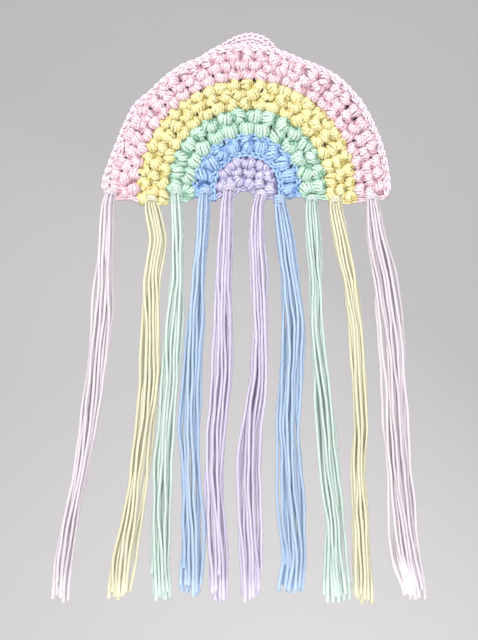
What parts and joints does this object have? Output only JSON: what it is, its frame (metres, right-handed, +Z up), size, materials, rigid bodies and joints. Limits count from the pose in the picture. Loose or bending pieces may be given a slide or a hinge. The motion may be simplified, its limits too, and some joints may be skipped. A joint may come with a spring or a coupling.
{
  "type": "textile wall hanging",
  "caption": "Crocheted rainbow wall hanging: a half disc of puff stitches in pastel arcs, with a hanging loop and long yarn tassels.",
  "frame": {"origin": "crown of the hanging loop, in the plane of the panel's back", "axes": "+Z up along the hanging's height, +X to the right seen from the front, the face towards -Y and the wall side towards +Y"},
  "size_m": [0.26, 0.0115, 0.3997],
  "materials": {
    "pink_yarn": "soft matt crochet yarn, pale pink",
    "yellow_yarn": "soft matt crochet yarn, butter yellow",
    "green_yarn": "soft matt crochet yarn, mint green",
    "blue_yarn": "soft matt crochet yarn, sky blue",
    "lavender_yarn": "soft matt crochet yarn, pale lavender"
  },
  "bodies": {
    "root": {"lavender_arc": "lavender_yarn", "blue_arc": "blue_yarn", "green_arc": "green_yarn", "yellow_arc": "yellow_yarn", "pink_arc": "pink_yarn", "hanging_loop": "pink_yarn", "tassel_pink_left": "pink_yarn", "tassel_yellow_left": "yellow_yarn", "tassel_green_left": "green_yarn", "tassel_blue_left": "blue_yarn", "tassel_lavender_left": "lavender_yarn", "tassel_lavender_right": "lavender_yarn", "tassel_blue_right": "blue_yarn", "tassel_green_right": "green_yarn", "tassel_yellow_right": "yellow_yarn", "tassel_pink_right": "pink_yarn"}
  },
  "joints": []
}
